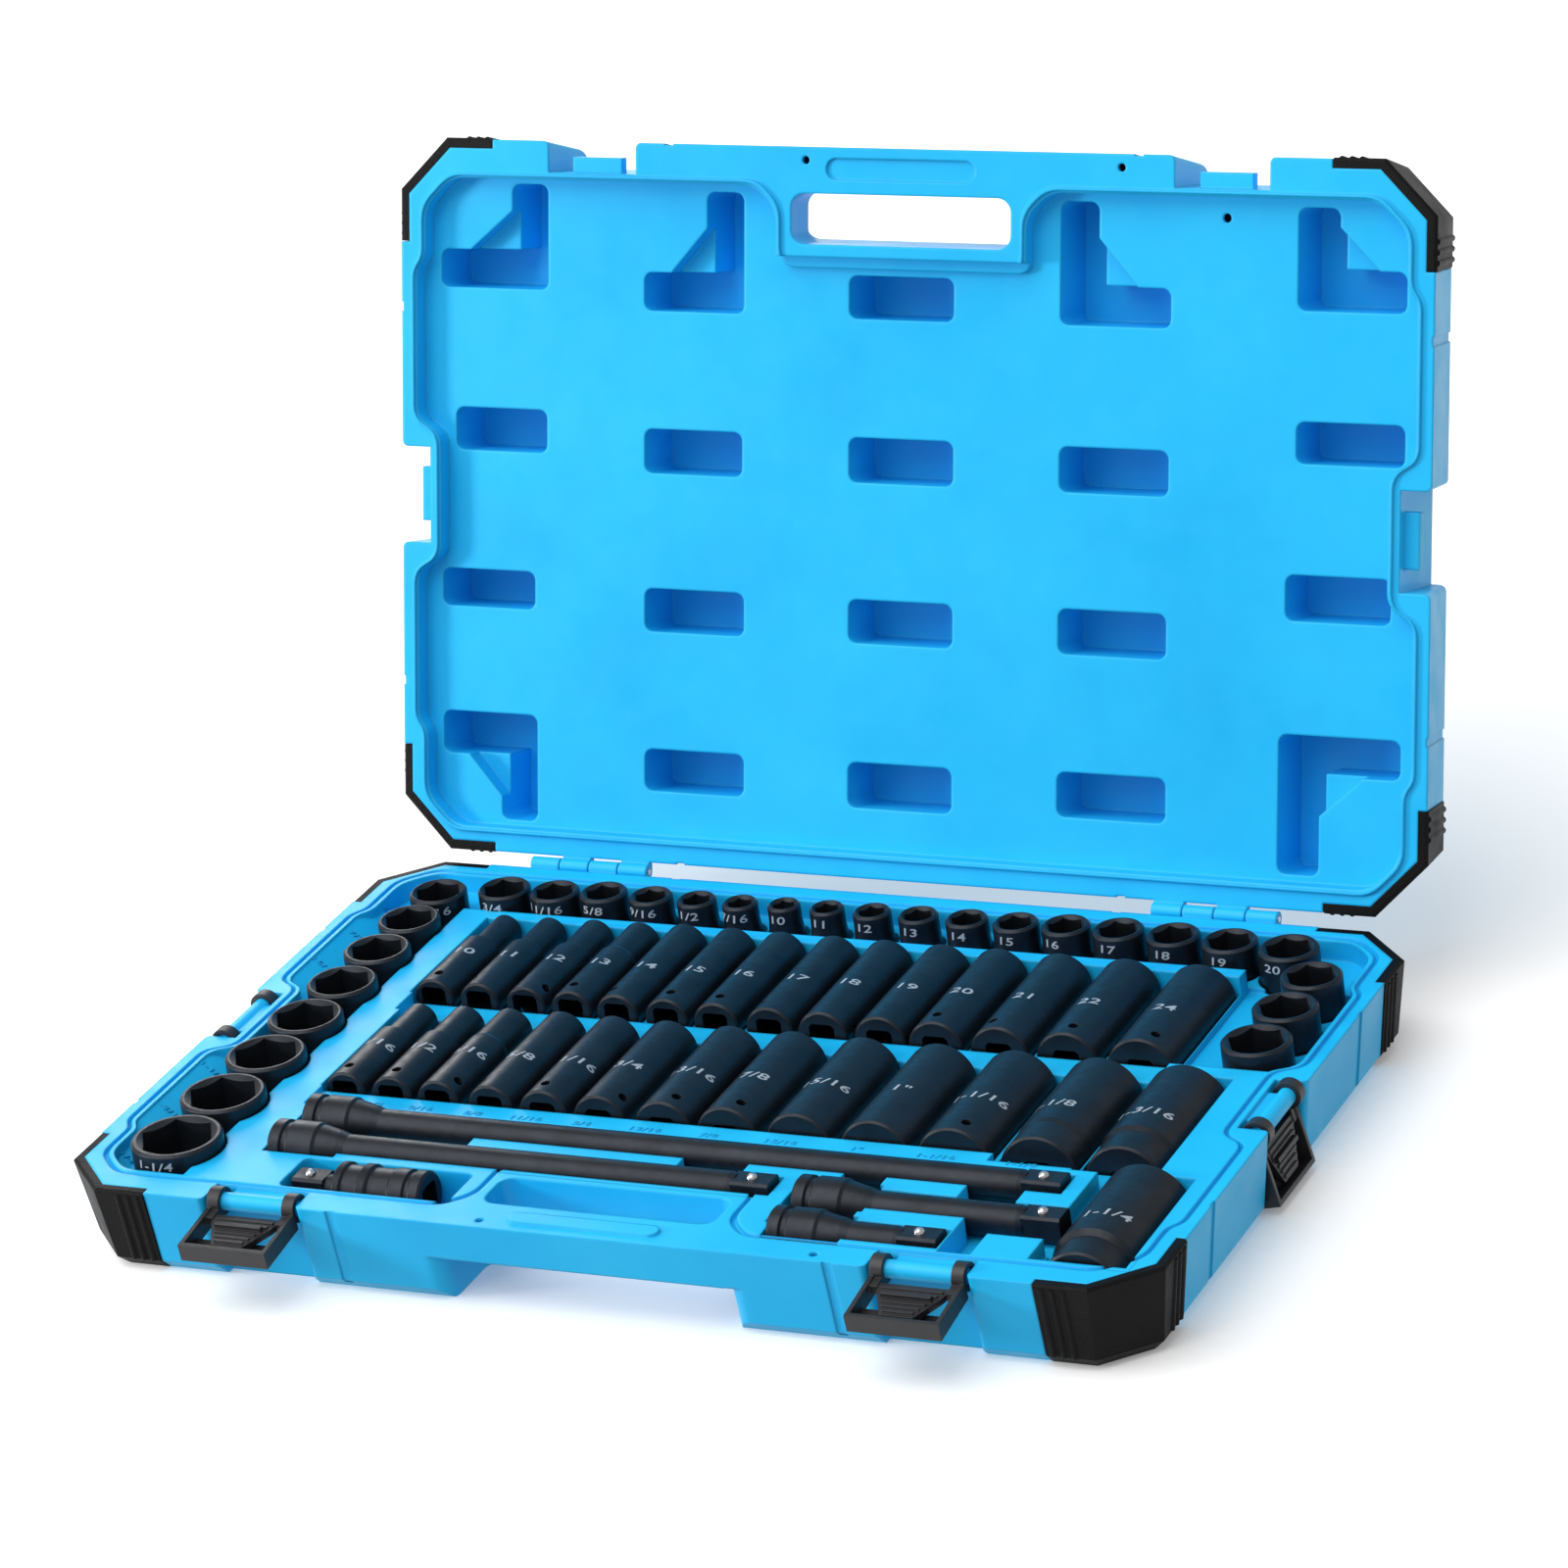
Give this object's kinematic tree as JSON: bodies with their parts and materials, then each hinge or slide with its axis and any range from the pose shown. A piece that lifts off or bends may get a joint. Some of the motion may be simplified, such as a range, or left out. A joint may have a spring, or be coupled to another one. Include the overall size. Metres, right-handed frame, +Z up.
{
  "type": "socket wrench set in case",
  "caption": "Impact sockets, extension bars and a universal joint in a hinged double-walled carry case with corner guards, latches and a moulded handle.",
  "frame": {"origin": "centre of the base's flat underside", "axes": "+X to the right along the hinge, +Y from the handle to the hinge, +Z up"},
  "size_m": [0.5476, 0.5335, 0.3879],
  "materials": {
    "shell": "blue moulded polyethylene, light sheen",
    "guard": "black textured elastomer",
    "latch": "black moulded plastic",
    "black_steel": "black oxide with a blue cast",
    "bright_steel": "polished"
  },
  "bodies": {
    "base": {"base_shell": "shell", "guard_base_front_left": "guard", "guard_base_front_right": "guard", "guard_base_back_left": "guard", "guard_base_back_right": "guard", "hinge_pins": "bright_steel", "base_tray": "shell"},
    "lid": {"lid_shell": "shell", "guard_lid_front_left": "guard", "guard_lid_front_right": "guard", "guard_lid_back_left": "guard", "guard_lid_back_right": "guard"},
    "latch_front_left": {"latch_front_left": "latch"},
    "latch_front_right": {"latch_front_right": "latch"},
    "latch_left": {"latch_left": "latch"},
    "latch_right": {"latch_right": "latch"},
    "left_column": {"shallow_sockets_left_column": "black_steel"},
    "back_row": {"shallow_sockets_back_inch": "black_steel", "shallow_sockets_back_metric": "black_steel"},
    "right_column": {"shallow_sockets_right_column": "black_steel"},
    "deep_metric_row": {"deep_socket_10mm": "black_steel", "deep_socket_11mm": "black_steel", "deep_socket_12mm": "black_steel", "deep_socket_13mm": "black_steel", "deep_socket_14mm": "black_steel", "deep_socket_15mm": "black_steel", "deep_socket_16mm": "black_steel", "deep_socket_17mm": "black_steel", "deep_socket_18mm": "black_steel", "deep_socket_19mm": "black_steel", "deep_socket_20mm": "black_steel", "deep_socket_21mm": "black_steel", "deep_socket_22mm": "black_steel", "deep_socket_24mm": "black_steel"},
    "deep_inch_row": {"deep_socket_11_16in": "black_steel", "deep_socket_13_16in": "black_steel", "deep_socket_15_16in": "black_steel", "deep_socket_1_1_16in": "black_steel", "deep_socket_1_1_4in": "black_steel", "deep_socket_1_1_8in": "black_steel", "deep_socket_1_2in": "black_steel", "deep_socket_1_3_16in": "black_steel", "deep_socket_1in": "black_steel", "deep_socket_3_4in": "black_steel", "deep_socket_5_8in": "black_steel", "deep_socket_7_16in": "black_steel", "deep_socket_7_8in": "black_steel", "deep_socket_9_16in": "black_steel"},
    "extension_15in": {"extension_15in": "black_steel", "detent_ball_15in": "bright_steel"},
    "extension_10in": {"extension_10in": "black_steel", "detent_ball_10in": "bright_steel"},
    "extension_5in": {"extension_5in": "black_steel", "detent_ball_5in": "bright_steel"},
    "extension_3in": {"extension_3in": "black_steel", "detent_ball_3in": "bright_steel"},
    "universal_joint": {"universal_joint_cup": "black_steel", "universal_joint_pin": "bright_steel"},
    "universal_joint_driver": {"universal_joint_driver": "black_steel", "universal_joint_ball": "bright_steel"}
  },
  "joints": [
    {"name": "lid_hinge", "type": "hinge", "parent": "base", "child": "lid", "pos_m": [0, 0.1822, 0.044], "axis": [-1, 0, 0], "range_deg": [-107.3, 0]},
    {"name": "latch_front_left_hinge", "type": "hinge", "parent": "base", "child": "latch_front_left", "pos_m": [-0.166, -0.17, 0.04], "axis": [1, 0, 0], "range_deg": [-98, 60]},
    {"name": "latch_front_right_hinge", "type": "hinge", "parent": "base", "child": "latch_front_right", "pos_m": [0.166, -0.17, 0.04], "axis": [1, 0, 0], "range_deg": [-98, 60]},
    {"name": "latch_left_hinge", "type": "hinge", "parent": "base", "child": "latch_left", "pos_m": [-0.265, 0, 0.04], "axis": [0, -1, 0], "range_deg": [-168, 0]},
    {"name": "latch_right_hinge", "type": "hinge", "parent": "base", "child": "latch_right", "pos_m": [0.265, 0, 0.04], "axis": [0, 1, 0], "range_deg": [-168, 0]},
    {"name": "left_column_lift", "type": "slide", "parent": "base", "child": "left_column", "axis": [0, 0, 1], "range_m": [0, 0.06]},
    {"name": "back_row_lift", "type": "slide", "parent": "base", "child": "back_row", "axis": [0, 0, 1], "range_m": [0, 0.06]},
    {"name": "right_column_lift", "type": "slide", "parent": "base", "child": "right_column", "axis": [0, 0, 1], "range_m": [0, 0.06]},
    {"name": "deep_metric_row_lift", "type": "slide", "parent": "base", "child": "deep_metric_row", "axis": [0, 0, 1], "range_m": [0, 0.06]},
    {"name": "deep_inch_row_lift", "type": "slide", "parent": "base", "child": "deep_inch_row", "axis": [0, 0, 1], "range_m": [0, 0.06]},
    {"name": "extension_15in_lift", "type": "slide", "parent": "base", "child": "extension_15in", "axis": [0, 0, 1], "range_m": [0, 0.06]},
    {"name": "extension_10in_lift", "type": "slide", "parent": "base", "child": "extension_10in", "axis": [0, 0, 1], "range_m": [0, 0.06]},
    {"name": "extension_5in_lift", "type": "slide", "parent": "base", "child": "extension_5in", "axis": [0, 0, 1], "range_m": [0, 0.06]},
    {"name": "extension_3in_lift", "type": "slide", "parent": "base", "child": "extension_3in", "axis": [0, 0, 1], "range_m": [0, 0.06]},
    {"name": "universal_joint_lift", "type": "slide", "parent": "base", "child": "universal_joint", "axis": [0, 0, 1], "range_m": [0, 0.06]},
    {"name": "universal_joint_bend", "type": "hinge", "parent": "universal_joint", "child": "universal_joint_driver", "pos_m": [-0.131, -0.1443, 0.0375], "axis": [0, 1, 0], "range_deg": [0, 30]}
  ]
}
